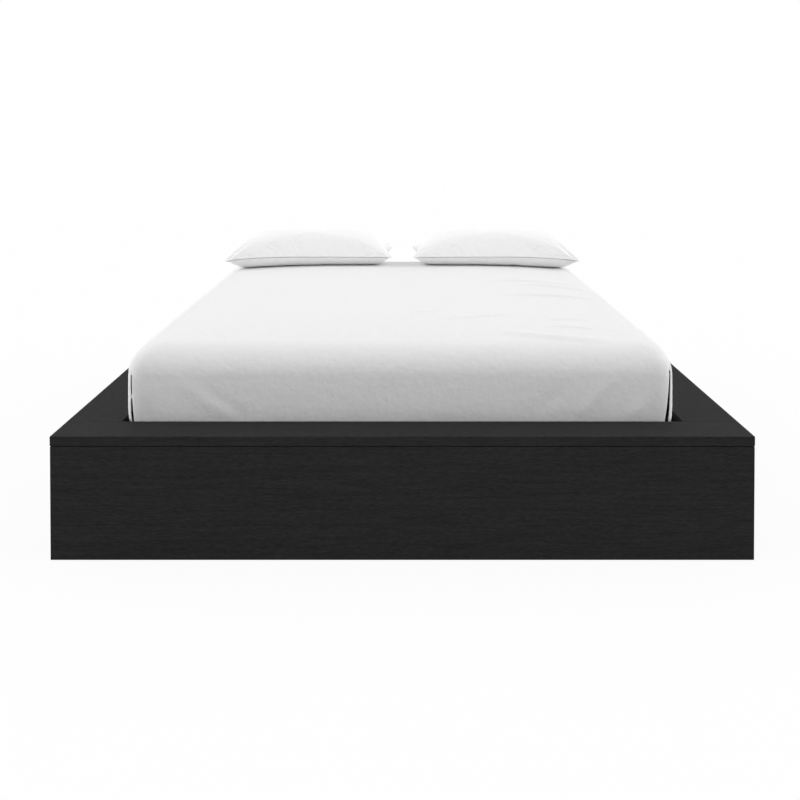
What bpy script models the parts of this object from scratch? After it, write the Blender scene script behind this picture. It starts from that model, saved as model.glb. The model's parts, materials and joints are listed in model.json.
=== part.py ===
"""A low platform bed: a black oak frame whose wide ledge runs round a recessed mattress.

The origin is on the floor under the bed's centre. +X is to the right as seen from the foot end, +Y runs
from the foot to the head and +Z is up. All sizes are in metres.
"""

import math

import bmesh
import bpy
from mathutils import Vector

# The mattress, which sets the size of the recess
mattress_width = 1.524
mattress_length = 2.032
mattress_height = 0.305
mattress_corner_radius = 0.046
mattress_bottom_radius = 0.030
mattress_top_radius = 0.077
mattress_swell = 0.007
swell_shares = ((0.0, -0.9), (0.3, -0.2), (0.52, 0.65), (0.74, 1.0), (1.0, 0.75))
bottom_steps = 3
top_steps = 6

# The sheet, tucked in under the mattress, with a folded pleat down each corner
sheet_thickness = 0.003
sheet_tuck = 0.120
sheet_play = 0.010
mattress_shift_share = 0.6
pleat_depth = 0.003
pleat_reach = 0.130
pleat_top_drop = 0.060
pleat_fade = 0.030
pleat_shares = (
    (0.0, 0.0),
    (0.25, 0.0),
    (0.42, -0.15),
    (0.48, -0.5),
    (0.52, 1.0),
    (0.6, 1.0),
    (0.78, 0.8),
    (1.0, 0.6),
)

# The pillows, which lie at the head end
pillow_width = 0.711
pillow_depth = 0.427
pillow_crown = 0.104
pillow_belly = 0.062
pillow_seam_height = 0.058
pillow_side_pull = 0.020
pillow_end_pull = 0.022
pillow_tip_droop = 0.016
pillow_gap = 0.089
pillow_head_overhang = 0.005
pillow_columns = 22
pillow_rows = 14
crown_shares = (3.0, 1.8, 0.5)
belly_shares = (3.0, 1.5, 0.9)

# The outer frame: panels that stand on glides, and the ledge boards on top of them
frame_height = 0.330
ledge_width = 0.153
ledge_thickness = 0.0254
panel_thickness = 0.019
panel_setback = 0.0005
reveal_height = 0.002
reveal_depth = 0.004
board_edge = 0.0008
glide_height = 0.003
glide_radius = 0.016
glide_edge = 0.0008

# The inner frame, which carries the ledge's inner edge and the slats
recess_depth = 0.103
rail_thickness = 0.018
rail_setback = 0.002
rail_below_cleat = 0.070
cleat_width = 0.035
cleat_height = 0.035
post_side = 0.045
web_thickness = 0.018

# The slats, joined by two webbing straps
slat_count = 13
slat_width = 0.070
slat_thickness = 0.018
slat_play = 0.004
slat_end_room = 0.024
strap_width = 0.025
strap_thickness = 0.0015

# The centre rail on its hangers and legs
centre_rail_width = 0.045
centre_rail_height = 0.090
hanger_plate = 0.0025
hanger_depth = 0.045
hanger_flange = 0.024
hanger_height_share = 0.7
leg_count = 3
leg_side = 0.045

# The levelling feet, each on a threaded stem in its leg
leveller_radius = 0.015
leveller_neck_radius = 0.009
leveller_foot_height = 0.006
leveller_neck_height = 0.005
leveller_stem_radius = 0.004
leveller_stem_length = 0.034
leveller_edge = 0.001

# The bolts that hold the end panels to the corner posts
bolt_radius = 0.004
bolt_head_radius = 0.0075
bolt_head_height = 0.005
bolt_bite = 0.012
bolt_height_shares = (0.24, 0.76)

# Fits between neighbouring pieces
joint_gap = 0.0003
overrun = 0.002
round_sides = 16
hex_sides = 6
quarter_turn = math.pi / 2

# Heights and half sizes that follow from the sizes above
mattress_half_x = mattress_width / 2
mattress_half_y = mattress_length / 2
cloth_room = mattress_swell + joint_gap + sheet_thickness + sheet_play
recess_half_x = mattress_half_x + cloth_room
recess_half_y = mattress_half_y + cloth_room
half_width = recess_half_x + ledge_width
half_length = recess_half_y + ledge_width
mattress_x = -sheet_play * mattress_shift_share

ledge_top = glide_height + frame_height
ledge_bottom = ledge_top - ledge_thickness
under_ledge = ledge_bottom - joint_gap
slat_top = ledge_top - recess_depth
slat_bottom = slat_top - slat_thickness
cleat_top = slat_bottom - joint_gap
cleat_bottom = cleat_top - cleat_height
rail_bottom = cleat_bottom - rail_below_cleat
centre_rail_top = slat_bottom - joint_gap
centre_rail_bottom = centre_rail_top - centre_rail_height
mattress_bottom = slat_top + joint_gap + sheet_thickness + joint_gap
sheet_top = mattress_bottom + mattress_height + joint_gap + sheet_thickness

panel_outer_x = half_width - panel_setback
panel_outer_y = half_length - panel_setback
panel_inner_x = panel_outer_x - panel_thickness
panel_inner_y = panel_outer_y - panel_thickness
rail_inner_x = recess_half_x + rail_setback
rail_inner_y = recess_half_y + rail_setback
rail_outer_x = rail_inner_x + rail_thickness


def clear_scene():
    for obj in list(bpy.data.objects):
        bpy.data.objects.remove(obj)


def finish(name, colour, roughness, metallic=0.0):
    """A plain material with one colour, for every piece that is made of it."""
    material = bpy.data.materials.new(name)
    material.use_nodes = True
    shader = material.node_tree.nodes["Principled BSDF"]
    shader.inputs["Base Color"].default_value = (*colour, 1.0)
    shader.inputs["Roughness"].default_value = roughness
    shader.inputs["Metallic"].default_value = metallic
    material.diffuse_color = (*colour, 1.0)
    return material


def group(name, location, parent=None):
    """An empty that carries the pieces that move together."""
    empty = bpy.data.objects.new(name, None)
    bpy.context.collection.objects.link(empty)
    empty.parent = parent
    empty.location = Vector(location) - (parent.matrix_world.translation if parent else Vector())
    bpy.context.view_layer.update()
    return empty


def add_piece(name, bm, location, material, parent, angle=0.0):
    """Makes an object from a bmesh, places it in the world and hands it to its parent empty."""
    bmesh.ops.recalc_face_normals(bm, faces=bm.faces)
    mesh = bpy.data.meshes.new(name)
    bm.to_mesh(mesh)
    bm.free()
    mesh.materials.append(material)
    obj = bpy.data.objects.new(name, mesh)
    bpy.context.collection.objects.link(obj)
    obj.parent = parent
    obj.location = Vector(location) - parent.matrix_world.translation
    obj.rotation_euler.z = angle
    return obj


def shade_round(obj):
    """Smooth shading that keeps the hard edges of a turned piece."""
    obj.data.shade_smooth()
    obj.data.set_sharp_from_angle(angle=quarter_turn / 3)


def ease_edges(obj, width):
    bevel = obj.modifiers.new("eased_edges", "BEVEL")
    bevel.width = width
    bevel.segments = 1
    bevel.limit_method = "ANGLE"


def combine(obj, other, operation):
    boolean = obj.modifiers.new(other.name, "BOOLEAN")
    boolean.operation = operation
    boolean.object = other
    other.hide_render = True
    other.display_type = "WIRE"


def loft(rings):
    """A closed body through rings of points, with a flat face over its first and its last ring."""
    bm = bmesh.new()
    loops = [[bm.verts.new(point) for point in ring] for ring in rings]
    for lower, upper in zip(loops, loops[1:]):
        for i in range(len(lower)):
            j = (i + 1) % len(lower)
            bm.faces.new((lower[i], lower[j], upper[j], upper[i]))
    bm.faces.new(reversed(loops[0]))
    bm.faces.new(loops[-1])
    return bm


def block(size_x, size_y, size_z):
    """A box centred on its origin."""
    x, y, z = size_x / 2, size_y / 2, size_z / 2
    corners = ((-x, -y), (x, -y), (x, y), (-x, y))
    return loft([[(*corner, level) for corner in corners] for level in (-z, z)])


def board(name, low, high, material, parent, edge=board_edge):
    """A straight board between two opposite corners in the world, with eased edges."""
    low = Vector(low)
    high = Vector(high)
    obj = add_piece(name, block(*(high - low)), (low + high) / 2, material, parent)
    ease_edges(obj, edge)
    return obj


def turned(outline, sides):
    """A solid of revolution about Z through (radius, height) points, from the bottom to the top."""
    turn = 2 * math.pi / sides
    rings = []
    for radius, height in outline:
        rings.append(
            [(radius * math.cos(i * turn), radius * math.sin(i * turn), height) for i in range(sides)]
        )
    return loft(rings)


def make_panels(frame, oak):
    """Four outer panels. The end panels run the full width, and the side panels fit between them."""
    height = under_ledge - glide_height
    side_half = panel_inner_y - joint_gap
    places = (
        ("foot_panel", 0, panel_outer_x, panel_outer_y),
        ("right_side_panel", 1, side_half, panel_outer_x),
        ("head_panel", 2, panel_outer_x, panel_outer_y),
        ("left_side_panel", 3, side_half, panel_outer_x),
    )
    panels = {}
    for name, turns, half, reach in places:
        outline = (
            (-reach, 0),
            (-reach, height - reveal_height),
            (-reach + reveal_depth, height - reveal_height),
            (-reach + reveal_depth, height),
            (-reach + panel_thickness, height),
            (-reach + panel_thickness, 0),
        )
        body = loft([[(end, y, z) for y, z in outline] for end in (-half, half)])
        panel = add_piece(name, body, (0, 0, glide_height), oak, frame, turns * quarter_turn)
        ease_edges(panel, board_edge)
        panels[name] = panel
    return panels


def make_ledges(frame, oak):
    """Four flat boards on top. The end boards run the full width, and the side boards fit between them."""
    side_half = recess_half_y - joint_gap
    places = (
        ("foot_ledge", (-half_width, -half_length), (half_width, -recess_half_y)),
        ("head_ledge", (-half_width, recess_half_y), (half_width, half_length)),
        ("left_ledge", (-half_width, -side_half), (-recess_half_x, side_half)),
        ("right_ledge", (recess_half_x, -side_half), (half_width, side_half)),
    )
    for name, low, high in places:
        board(name, (*low, ledge_bottom), (*high, ledge_top), oak, frame)


def make_inner_rails(frame, oak):
    """Rails under the ledge's inner edge. The side rails run from end panel to end panel."""
    side_half = panel_inner_y - joint_gap
    end_half = rail_inner_x - joint_gap
    for name, sign in (("left_inner_rail", -1), ("right_inner_rail", 1)):
        near, far = sorted((sign * rail_inner_x, sign * rail_outer_x))
        board(name, (near, -side_half, rail_bottom), (far, side_half, under_ledge), oak, frame)
    for name, sign in (("foot_inner_rail", -1), ("head_inner_rail", 1)):
        near, far = sorted((sign * rail_inner_y, sign * (rail_inner_y + rail_thickness)))
        board(name, (-end_half, near, rail_bottom), (end_half, far, under_ledge), oak, frame)


def make_posts(frame, pine):
    """A square post in each corner of the outer frame, on a glide."""
    posts = {}
    for end, along in (("foot", -1), ("head", 1)):
        for side, across in (("left", -1), ("right", 1)):
            outer_x = panel_inner_x - joint_gap
            outer_y = panel_inner_y - joint_gap
            low_x, high_x = sorted((across * outer_x, across * (outer_x - post_side)))
            low_y, high_y = sorted((along * outer_y, along * (outer_y - post_side)))
            name = f"{end}_{side}_post"
            low = (low_x, low_y, glide_height + joint_gap)
            posts[name] = board(name, low, (high_x, high_y, under_ledge), pine, frame)
    return posts


def make_glides(frame, plastic):
    """A round glide under each corner post."""
    outline = (
        (glide_radius - glide_edge, 0),
        (glide_radius, glide_edge),
        (glide_radius, glide_height),
    )
    reach_x = panel_inner_x - joint_gap - post_side / 2
    reach_y = panel_inner_y - joint_gap - post_side / 2
    for end, along in (("foot", -1), ("head", 1)):
        for side, across in (("left", -1), ("right", 1)):
            place = (across * reach_x, along * reach_y, 0)
            glide = add_piece(f"{end}_{side}_glide", turned(outline, round_sides), place, plastic, frame)
            shade_round(glide)


def make_bolts(frame, steel, posts, panels):
    """Two hex bolts through each post into the end panel, with their holes cut in both."""
    shank = post_side + joint_gap + bolt_bite
    outline = (
        (bolt_head_radius, -bolt_head_height),
        (bolt_head_radius, 0),
        (bolt_radius, 0),
        (bolt_radius, shank),
    )
    hole_radius = bolt_radius + joint_gap
    reach_x = panel_inner_x - joint_gap - post_side / 2
    face_y = panel_inner_y - joint_gap - post_side - joint_gap
    post_height = under_ledge - glide_height
    for end, along in (("foot", -1), ("head", 1)):
        for side, across in (("left", -1), ("right", 1)):
            for i, share in enumerate(bolt_height_shares, start=1):
                place = (across * reach_x, along * face_y, glide_height + share * post_height)
                name = f"{end}_{side}_bolt_{i}"
                bolt = add_piece(name, bolt_body(outline), place, steel, frame)
                bolt.rotation_euler.x = -along * quarter_turn
                hole = turned(((hole_radius, -overrun), (hole_radius, shank + joint_gap * 2)), round_sides)
                cutter = add_piece(f"{name}_hole", hole, place, steel, frame)
                cutter.rotation_euler.x = -along * quarter_turn
                combine(posts[f"{end}_{side}_post"], cutter, "DIFFERENCE")
                combine(panels[f"{end}_panel"], cutter, "DIFFERENCE")


def bolt_body(outline):
    """A bolt along Z: a hexagonal head below its seat and a round shank above it."""
    rings = []
    turn = 2 * math.pi / (2 * hex_sides)
    for radius, height in outline:
        ring = []
        for i in range(2 * hex_sides):
            flat = 1.0 if radius < bolt_head_radius or i % 2 == 0 else math.cos(turn)
            ring.append((radius * flat * math.cos(i * turn), radius * flat * math.sin(i * turn), height))
        rings.append(ring)
    return loft(rings)


def make_webs(frame, pine):
    """A block between the outer panel and the inner rail, halfway down each side."""
    near = rail_outer_x + joint_gap
    far = panel_inner_x - joint_gap
    half = web_thickness / 2
    for name, sign in (("left_web", -1), ("right_web", 1)):
        low_x, high_x = sorted((sign * near, sign * far))
        board(name, (low_x, -half, rail_bottom), (high_x, half, under_ledge), pine, frame)


def make_cleats(frame, pine):
    """A cleat along each side rail, which the slat ends lie on."""
    outer = rail_inner_x - joint_gap
    half = rail_inner_y - joint_gap
    for name, sign in (("left_cleat", -1), ("right_cleat", 1)):
        low_x, high_x = sorted((sign * outer, sign * (outer - cleat_width)))
        board(name, (low_x, -half, cleat_bottom), (high_x, half, cleat_top), pine, frame)


def slat_places():
    """The Y of each slat's middle, evenly spaced from the foot to the head."""
    last = rail_inner_y - slat_end_room - slat_width / 2
    pitch = 2 * last / (slat_count - 1)
    return [-last + i * pitch for i in range(slat_count)]


def make_slats(frame, pine):
    half_x = rail_inner_x - slat_play
    half_y = slat_width / 2
    for i, y in enumerate(slat_places(), start=1):
        low = (-half_x, y - half_y, slat_bottom)
        board(f"slat_{i:02d}", low, (half_x, y + half_y, slat_top), pine, frame)


def make_straps(frame, webbing):
    """Two webbing straps under the slats, halfway between the centre rail and each cleat."""
    cleat_inner = rail_inner_x - joint_gap - cleat_width
    middle = (cleat_inner + centre_rail_width / 2) / 2
    reach = slat_places()[-1] + slat_width / 2
    top = slat_bottom - joint_gap
    half = strap_width / 2
    for name, sign in (("left_strap", -1), ("right_strap", 1)):
        low = (sign * middle - half, -reach, top - strap_thickness)
        board(name, low, (sign * middle + half, reach, top), webbing, frame, strap_thickness / 4)


def make_centre_rail(frame, pine):
    half_x = centre_rail_width / 2
    half_y = rail_inner_y - joint_gap - hanger_plate - joint_gap
    low = (-half_x, -half_y, centre_rail_bottom)
    high = (half_x, half_y, centre_rail_top)
    board("centre_rail", low, high, pine, frame)


def make_hangers(frame, steel):
    """A steel saddle on each end rail: a back plate, two cheeks and a shelf under the centre rail."""
    shelf_bottom = centre_rail_bottom - joint_gap - hanger_plate
    height = hanger_plate + hanger_height_share * centre_rail_height
    pocket_width = centre_rail_width + 2 * joint_gap
    saddle_width = pocket_width + 2 * hanger_plate
    plate_width = saddle_width + 2 * hanger_flange
    plate_face = rail_inner_y - joint_gap
    middle_z = shelf_bottom + height / 2
    for name, sign in (("foot_hanger", -1), ("head_hanger", 1)):
        plate_y = sign * (plate_face - hanger_plate / 2)
        saddle_y = sign * (plate_face - hanger_depth / 2)
        pocket_y = saddle_y - sign * hanger_plate
        plate_body = block(plate_width, hanger_plate, height)
        saddle_body = block(saddle_width, hanger_depth, height)
        pocket_body = block(pocket_width, hanger_depth, height)
        hanger = add_piece(name, plate_body, (0, plate_y, middle_z), steel, frame)
        saddle = add_piece(f"{name}_saddle", saddle_body, (0, saddle_y, middle_z), steel, frame)
        pocket_place = (0, pocket_y, middle_z + hanger_plate)
        pocket = add_piece(f"{name}_pocket", pocket_body, pocket_place, steel, frame)
        combine(hanger, saddle, "UNION")
        combine(hanger, pocket, "DIFFERENCE")


def leg_places():
    """The Y of each leg's middle: evenly spaced, with half a space at each end."""
    space = 2 * rail_inner_y / leg_count
    return [-rail_inner_y + (i + 0.5) * space for i in range(leg_count)]


def make_legs(frame, pine, steel):
    """Legs under the centre rail. Each has a levelling foot whose stem runs in a bore up its middle."""
    half = leg_side / 2
    foot_top = leveller_foot_height + leveller_neck_height
    low_z = foot_top + joint_gap
    high_z = centre_rail_bottom - joint_gap
    bore_radius = leveller_stem_radius + joint_gap
    foot_outline = (
        (leveller_radius - leveller_edge, 0),
        (leveller_radius, leveller_edge),
        (leveller_radius, leveller_foot_height - leveller_edge),
        (leveller_radius - leveller_edge, leveller_foot_height),
        (leveller_neck_radius, leveller_foot_height),
        (leveller_neck_radius, foot_top),
        (leveller_stem_radius, foot_top),
        (leveller_stem_radius, foot_top + leveller_stem_length),
    )
    bore_outline = ((bore_radius, -overrun), (bore_radius, leveller_stem_length + overrun))
    for i, y in enumerate(leg_places(), start=1):
        leg = board(f"leg_{i}", (-half, y - half, low_z), (half, y + half, high_z), pine, frame)
        bore = add_piece(f"leg_{i}_bore", turned(bore_outline, round_sides), (0, y, low_z), steel, frame)
        combine(leg, bore, "DIFFERENCE")
        screw = group(f"leveller_{i}_screw", (0, y, 0), frame)
        foot = add_piece(f"leveller_{i}", turned(foot_outline, round_sides), (0, y, 0), steel, screw)
        shade_round(foot)


def mattress_outline():
    """The mattress's edge in section: (distance out from its nominal side, height over its bottom)."""
    points = []
    for step in range(bottom_steps):
        angle = -quarter_turn + step * quarter_turn / bottom_steps
        out = mattress_bottom_radius * (math.cos(angle) - 1) + swell_shares[0][1] * mattress_swell
        points.append((out, mattress_bottom_radius * (1 + math.sin(angle))))
    straight = mattress_height - mattress_bottom_radius - mattress_top_radius
    for height_share, swell_share in swell_shares:
        height = mattress_bottom_radius + height_share * straight
        points.append((swell_share * mattress_swell, height))
    for step in range(1, top_steps + 1):
        angle = step * quarter_turn / top_steps
        out = mattress_top_radius * (math.cos(angle) - 1) + swell_shares[-1][1] * mattress_swell
        points.append((out, mattress_height - mattress_top_radius * (1 - math.sin(angle))))
    return points


def offset_outline(points, distance):
    """The same outline moved out by a distance, square to itself."""
    moved = []
    for i, (out, height) in enumerate(points):
        if i == 0:
            moved.append((out, height - distance))
            continue
        if i == len(points) - 1:
            moved.append((out, height + distance))
            continue
        along = Vector(points[i + 1]) - Vector(points[i - 1])
        along.normalize()
        moved.append((out + distance * along.y, height - distance * along.x))
    return moved


def mattress_ring(out, height, pleat=0.0):
    """A rounded rectangle round the mattress. pleat lifts the cloth of the end faces at the corners."""
    radius = mattress_corner_radius + max(out, 0)
    centre_x = mattress_half_x + out - radius
    centre_y = mattress_half_y + out - radius
    corner = [(centre_x + radius, centre_y - pleat_reach)]
    for share, lift in pleat_shares:
        angle = share * quarter_turn
        reach = radius + lift * pleat
        corner.append((centre_x + reach * math.cos(angle), centre_y + reach * math.sin(angle)))
    corner.append((centre_x - pleat_reach, centre_y + radius))
    ring = []
    for sign_x, sign_y in ((1, 1), (-1, 1), (-1, -1), (1, -1)):
        points = [(sign_x * x, sign_y * y, height) for x, y in corner]
        ring.extend(points if sign_x == sign_y else reversed(points))
    return ring


def pleat_at(height):
    """How deep the corner pleats are at a height over the mattress's bottom."""
    start = mattress_height - pleat_top_drop
    down = min(max((start - height) / pleat_fade, 0), 1)
    return pleat_depth * down


def make_mattress(body, ticking):
    rings = [mattress_ring(out, height) for out, height in mattress_outline()]
    mattress = add_piece("mattress", loft(rings), (mattress_x, 0, mattress_bottom), ticking, body)
    shade_round(mattress)


def make_sheet(body, cotton):
    """A cloth shell round the mattress: down its outside, under it as far as the tuck, and back inside."""
    outline = mattress_outline()
    outer = offset_outline(outline, joint_gap + sheet_thickness)
    inner = offset_outline(outline, joint_gap)
    rings = [mattress_ring(out, height, pleat_at(height)) for out, height in reversed(outer[1:])]
    rings.append(mattress_ring(*outer[0]))
    rings.append(mattress_ring(-sheet_tuck, outer[0][1]))
    rings.append(mattress_ring(-sheet_tuck, inner[0][1]))
    rings.extend(mattress_ring(out, height) for out, height in inner)
    sheet = add_piece("bed_sheet", loft(rings), (mattress_x, 0, mattress_bottom), cotton, body)
    shade_round(sheet)


def fullness(u, v, shares):
    """How full the pillow is between its edges, from 0 at a seam to 1 in the middle.

    The shares are the powers of its outline along its width, across its depth and of its roundness.
    """
    along_share, across_share, round_share = shares
    along = 1 - abs(u) ** along_share
    across = 1 - abs(v) ** across_share
    return (along * across) ** round_share


def pillow_point(u, v, face, outer_side):
    """A point of the pillow. face is 1 on top and -1 below, and outer_side is where its tips droop."""
    x = u * (pillow_width / 2 - pillow_side_pull * (1 - v * v))
    y = v * (pillow_depth / 2 - pillow_end_pull * (1 - u * u))
    droop = pillow_tip_droop * max(u * outer_side, 0) ** 3
    seam = pillow_seam_height - droop
    if face > 0:
        return (x, y, seam + pillow_crown * fullness(u, v, crown_shares))
    return (x, y, max(seam - pillow_belly * fullness(u, v, belly_shares), 0))


def pillow_body(outer_side):
    """Two crowned faces that meet at a seam all round."""
    bm = bmesh.new()
    faces = {}
    for face in (1, -1):
        for i in range(pillow_columns + 1):
            for j in range(pillow_rows + 1):
                at_seam = i in (0, pillow_columns) or j in (0, pillow_rows)
                if at_seam and face < 0:
                    faces[face, i, j] = faces[1, i, j]
                    continue
                u = math.sin((2 * i / pillow_columns - 1) * quarter_turn)
                v = math.sin((2 * j / pillow_rows - 1) * quarter_turn)
                faces[face, i, j] = bm.verts.new(pillow_point(u, v, face, outer_side))
        for i in range(pillow_columns):
            for j in range(pillow_rows):
                corners = ((i, j), (i + 1, j), (i + 1, j + 1), (i, j + 1))
                bm.faces.new([faces[face, a, b] for a, b in corners[::face]])
    return bm


def make_pillows(mattress_group, cotton):
    y = mattress_half_y + pillow_head_overhang + sheet_thickness - pillow_depth / 2
    z = sheet_top + joint_gap
    for side, sign in (("left", -1), ("right", 1)):
        x = sign * (pillow_width + pillow_gap) / 2
        lift = group(f"pillow_{side}_lift", (x, y, z), mattress_group)
        pillow = add_piece(f"pillow_{side}", pillow_body(sign), (x, y, z), cotton, lift)
        shade_round(pillow)


def build():
    clear_scene()
    oak = finish("black_oak", (0.02, 0.02, 0.02), 0.5)
    pine = finish("pine", (0.62, 0.45, 0.27), 0.6)
    steel = finish("zinc_steel", (0.6, 0.6, 0.6), 0.35, 1.0)
    plastic = finish("glide_plastic", (0.03, 0.03, 0.03), 0.5)
    webbing = finish("webbing", (0.75, 0.73, 0.68), 0.9)
    ticking = finish("ticking", (0.85, 0.85, 0.83), 0.9)
    cotton = finish("white_cotton", (0.86, 0.86, 0.86), 0.85)
    frame = group("frame", (0, 0, 0))
    panels = make_panels(frame, oak)
    make_ledges(frame, oak)
    make_inner_rails(frame, oak)
    posts = make_posts(frame, pine)
    make_glides(frame, plastic)
    make_bolts(frame, steel, posts, panels)
    make_webs(frame, pine)
    make_cleats(frame, pine)
    make_slats(frame, pine)
    make_straps(frame, webbing)
    make_centre_rail(frame, pine)
    make_hangers(frame, steel)
    make_legs(frame, pine, steel)
    mattress_group = group("mattress_lift", (mattress_x, 0, mattress_bottom), frame)
    make_mattress(mattress_group, ticking)
    make_sheet(mattress_group, cotton)
    make_pillows(mattress_group, cotton)


build()
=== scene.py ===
"""The looks of a low platform bed: a black oak frame, a tucked white sheet and two pillows.

Places are in metres. The origin is on the floor under the bed's centre, +X is to the right as seen from
the foot end, +Y runs from the foot to the head and +Z is up.
"""

import json
import math

import bpy
import numpy as np
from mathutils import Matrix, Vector, noise


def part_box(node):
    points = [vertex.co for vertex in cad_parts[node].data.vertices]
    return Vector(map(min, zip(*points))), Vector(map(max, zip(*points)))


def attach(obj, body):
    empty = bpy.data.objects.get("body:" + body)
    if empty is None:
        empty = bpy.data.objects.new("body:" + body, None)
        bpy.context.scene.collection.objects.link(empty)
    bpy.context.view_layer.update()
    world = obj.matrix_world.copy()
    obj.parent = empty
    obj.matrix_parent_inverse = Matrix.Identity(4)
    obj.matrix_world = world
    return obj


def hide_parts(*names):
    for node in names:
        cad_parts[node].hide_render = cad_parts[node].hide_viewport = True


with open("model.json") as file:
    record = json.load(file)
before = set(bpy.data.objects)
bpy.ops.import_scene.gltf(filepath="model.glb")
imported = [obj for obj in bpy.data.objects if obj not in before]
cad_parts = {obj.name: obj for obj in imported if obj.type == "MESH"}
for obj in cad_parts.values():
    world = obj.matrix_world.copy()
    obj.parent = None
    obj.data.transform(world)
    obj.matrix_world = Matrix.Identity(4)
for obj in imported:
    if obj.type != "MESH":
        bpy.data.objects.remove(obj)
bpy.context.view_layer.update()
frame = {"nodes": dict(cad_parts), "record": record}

# Places that the frame gives
ledge_low, ledge_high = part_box("foot_ledge")
mattress_low, mattress_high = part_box("mattress")
sheet_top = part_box("bed_sheet")[1].z
slat_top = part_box("slat_01")[1].z

# The mattress under its sheet. Its border, painted shade for the pleats' slits, covers the faces whose
# normals rise or fall less than the slope.
# Its quilting starts where they fall by the first limit, and is in full depth from the second.
side_swell = 0.007
half_x = (mattress_high.x - mattress_low.x) / 2 - side_swell
half_y = (mattress_high.y - mattress_low.y) / 2 - side_swell
middle_x = (mattress_low.x + mattress_high.x) / 2
mattress_gap = 0.0050
painted_shade_slope = 0.75
quilt_pitch = 0.090
quilt_depth = 0.003
quilt_facing = (0.80, 0.99)

# The crown of the mattress's top, which the sheet and the pillows follow
crown_height = 0.020
crown_half_x = 0.760
crown_half_y = 0.960
crown_power_x, crown_power_y = 4.0, 9.0
crown_softness = 1.5

# The sheet in section, from its flat top to the end of its tuck
cloth_thickness = 0.0012
rest_gap = 0.0003
grid_margin = 0.200
roll_radius = 0.086
cloth_out = 0.0033
side_shares = ((0.00, 0.92), (0.26, 1.00), (0.50, 0.72), (0.74, 0.00), (1.00, -0.80))
bottom_radius = 0.030
tuck = 0.120

# The rings in each stretch of the sheet and of the mattress, and how soon the sheet's become round
sheet_steps = {"lead": 10, "roll": 18, "side": 10, "turn": 6, "tuck": 8}
mattress_steps = {"lead": 4, "roll": 6, "side": 2, "turn": 4}
lead_rounding = 1.6

# The rings of points round the sheet
corner_radius = 0.046
corner_span = 0.046
corner_steps = 32
step_growth = 1.16
widest_step = 0.008

# A corner pleat in plan at its full depth: along the corner from side to end, out from it, how far the
# point moves with the side flap (1), which half of the slit it belongs to (-1 or 1), and steps to the next.
# Each flap is hemmed, and the cloth ends behind the hems.
pleat_path = (
    (-0.0440, 0.0000, 1.0, 0.0, 5),
    (-0.0240, 0.0006, 1.0, -0.5, 5),
    (-0.0110, 0.0008, 1.0, -0.9, 5),
    (-0.0040, 0.0006, 1.0, -1.0, 3),
    (-0.0018, -0.0002, 1.0, -1.0, 2),
    (-0.0012, -0.0010, 1.0, -1.0, 2),
    (-0.0020, -0.0020, 1.0, -1.0, 2),
    (-0.0080, -0.0022, 1.0, -1.0, 3),
    (-0.0190, -0.0022, 1.0, -1.0, 3),
    (-0.0210, -0.0150, 0.5, -1.0, 3),
    (0.0000, -0.0240, 0.0, 1.0, 3),
    (0.0210, -0.0150, 0.0, 1.0, 3),
    (0.0190, -0.0018, 0.0, 1.0, 3),
    (0.0080, -0.0018, 0.0, 1.0, 3),
    (0.0018, -0.0014, 0.0, 1.0, 2),
    (0.0006, -0.0006, 0.0, 1.0, 2),
    (0.0014, 0.0008, 0.0, 1.0, 2),
    (0.0036, 0.0016, 0.0, 1.0, 3),
    (0.0080, 0.0016, 0.0, 0.9, 5),
    (0.0200, 0.0008, 0.0, 0.5, 5),
    (0.0440, 0.0000, 0.0, 0.0, 0),
)
pleat_rise = 0.007
gather_reach = 0.045
edge_depth = 0.0008
hem_depth = 0.0030
flap_flare = 0.003
flap_reach = 0.150
slit_width = 0.0018

# How far under the sheet's top the side flap starts to stand out, and from where it does so in full
flap_depths = (0.13, 0.22)

# The cloth's relief fades near a corner and below these heights, so that the pleats keep their form
corner_fade = 0.050
fade_heights = (0.50, 0.53)

# Each corner's pleat: where its top is over the floor, how wide its slit is and how far it moves along the
# corner, both at its top and at the ledge, and where it is pinched shut
pleats = {
    (-1, -1): {"top": 0.457, "slit": (0.0068, 0.0082), "slide": (0.000, 0.003), "pinch": 0.397},
    (1, -1): {"top": 0.466, "slit": (0.0090, 0.0130), "slide": (-0.006, 0.007), "pinch": None},
    (-1, 1): {"top": 0.458, "slit": (0.0030, 0.0050), "slide": (0.000, 0.003), "pinch": 0.350},
    (1, 1): {"top": 0.466, "slit": (0.0030, 0.0060), "slide": (0.001, 0.004), "pinch": None},
}
pinch_reach = 0.005

# Long shallow creases on the sheet's top: both ends, the bow between them, height and width
top_creases = (
    ((0.320, 0.165), (0.650, 0.150), 0.022, 0.0070, 0.014),
    ((0.415, 0.092), (0.700, -0.020), 0.018, 0.0075, 0.014),
    ((0.340, -0.185), (0.680, -0.215), 0.014, 0.0080, 0.014),
    ((0.120, -0.690), (0.350, -0.610), 0.004, 0.0050, 0.012),
    ((0.030, -0.550), (0.110, -0.567), 0.002, 0.0035, 0.012),
    ((0.290, -0.865), (0.590, -0.945), -0.016, 0.0090, 0.013),
    ((0.430, -0.775), (0.590, -0.810), 0.004, 0.0050, 0.014),
    ((0.455, -0.680), (0.590, -0.672), 0.002, 0.0055, 0.012),
    ((-0.560, -0.500), (-0.250, -0.620), 0.010, 0.0015, 0.020),
)
back_slope = 2.5
crease_fade = 0.7

# How much fuller than a round roll the left and right shoulders are, and the lower part of the foot face
shoulder_fullness = (0.0000, 0.0040)
face_fullness = 0.003
face_fullness_from, face_fullness_to = 0.41, 0.34

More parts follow.
